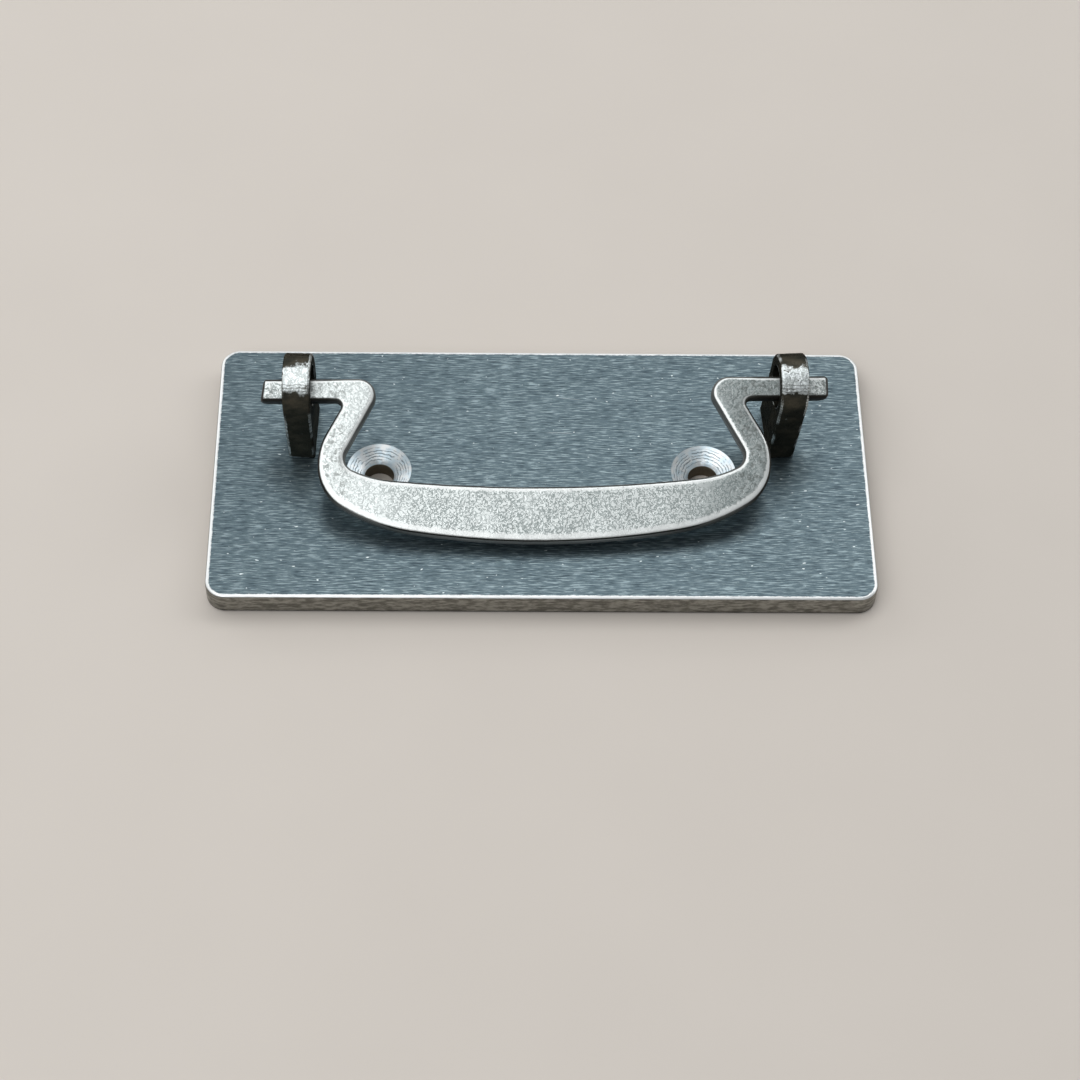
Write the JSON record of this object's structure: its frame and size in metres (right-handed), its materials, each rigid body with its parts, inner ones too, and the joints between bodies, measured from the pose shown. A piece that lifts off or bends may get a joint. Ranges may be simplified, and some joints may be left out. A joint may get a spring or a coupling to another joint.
{
  "type": "drop pull",
  "caption": "Flat steel back plate with rounded corners and countersunk screw holes; round-headed upright eyes on it hold a one-piece swinging bail handle for a drawer or cabinet.",
  "frame": {"origin": "middle of the plate's back face", "axes": "+X along the plate, +Y towards the edge that the eyes stand near, +Z out of the plate's front"},
  "size_m": [0.1514, 0.07, 0.031],
  "materials": {
    "plate_steel": "blue-grey mill scale, brushed along the plate, worn bright at the edges",
    "eye_steel": "dark forged scale with a polished head",
    "bail_steel": "pale blasted steel, fine pitting, bright worn rims"
  },
  "bodies": {
    "fixed_plate": {"backplate": "plate_steel", "left_eye": "eye_steel", "right_eye": "eye_steel"},
    "swinging_bail": {"bail": "bail_steel"}
  },
  "joints": [
    {"name": "bail_swing", "type": "hinge", "parent": "fixed_plate", "child": "swinging_bail", "pos_m": [0.0003, 0.01095, 0.02244], "axis": [-0.9999, -0.0157, 0], "range_deg": [0, 233]}
  ]
}
